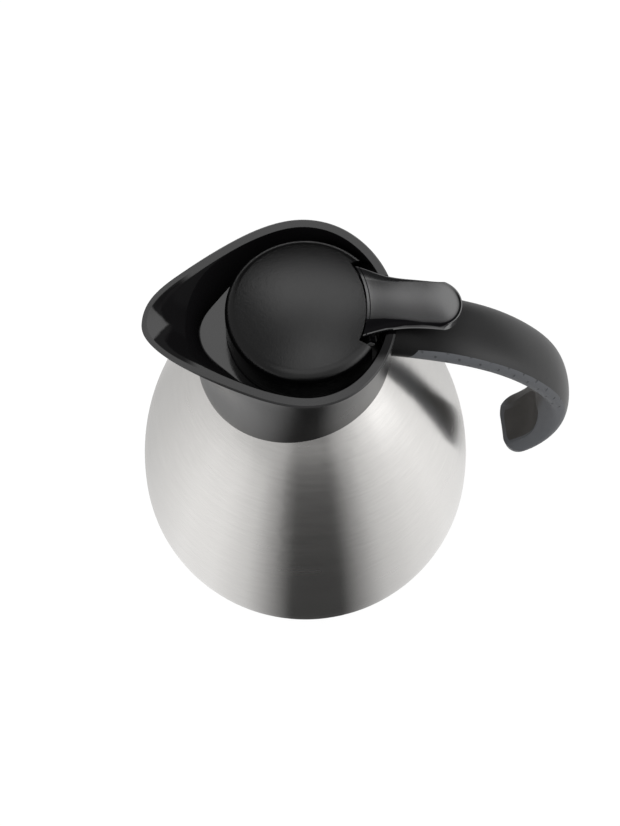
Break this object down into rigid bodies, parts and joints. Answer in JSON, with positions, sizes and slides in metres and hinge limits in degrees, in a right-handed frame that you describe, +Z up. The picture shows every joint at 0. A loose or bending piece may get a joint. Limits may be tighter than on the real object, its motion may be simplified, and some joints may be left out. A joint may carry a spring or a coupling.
{
  "type": "thermal carafe",
  "caption": "Pear-shaped double-walled steel carafe with a wide pouring spout, a round flip lid worked by a thumb lever and an open hook handle.",
  "frame": {"origin": "middle of the foot's underside, on the body's axis", "axes": "+Z up along the body's axis; the spout points to -X and the handle to +X; +Y is across"},
  "size_m": [0.1754, 0.136, 0.2002],
  "materials": {
    "brushed_steel": "satin brushed stainless steel",
    "flask_steel": "bright drawn stainless steel",
    "collar_plastic": "semi-gloss black plastic",
    "lid_plastic": "fine-textured black plastic",
    "lever_plastic": "satin black plastic",
    "handle_plastic": "satin charcoal plastic",
    "grip_plastic": "soft-touch grey elastomer with small dimples",
    "black_plastic": "plain black plastic",
    "pad_rubber": "matte dark rubber",
    "seal_silicone": "smooth grey silicone",
    "foam": "closed-cell insulating foam",
    "screw_steel": "plain steel",
    "cap_plastic": "dark grey plastic"
  },
  "bodies": {
    "carafe": {"outer_shell": "brushed_steel", "inner_flask": "flask_steel", "base_cup": "flask_steel", "evacuation_cap": "cap_plastic", "base_pad": "pad_rubber", "collar": "collar_plastic", "mouth_gasket": "seal_silicone", "neck_ring": "black_plastic", "handle_shell": "handle_plastic", "handle_grip": "grip_plastic", "handle_core": "handle_plastic", "handle_screws": "screw_steel"},
    "stopper": {"stopper_deck": "collar_plastic", "stopper_cup": "black_plastic", "stopper_foam": "foam", "stopper_gasket": "seal_silicone", "hinge_pin": "screw_steel", "torsion_spring": "screw_steel"},
    "lid": {"lid_dome": "lid_plastic", "lid_lever": "lever_plastic", "lid_plate": "black_plastic", "lid_seal": "seal_silicone"}
  },
  "joints": [
    {"name": "stopper_lift", "type": "slide", "parent": "carafe", "child": "stopper", "axis": [0, 0, 1], "range_m": [0, 0.045]},
    {"name": "lid_flip", "type": "hinge", "parent": "stopper", "child": "lid", "pos_m": [0.0235, 0, 0.187], "axis": [0, 1, 0], "range_deg": [0, 16], "stiffness_Nm_per_rad": 0.06, "springref_deg": -14.32}
  ]
}
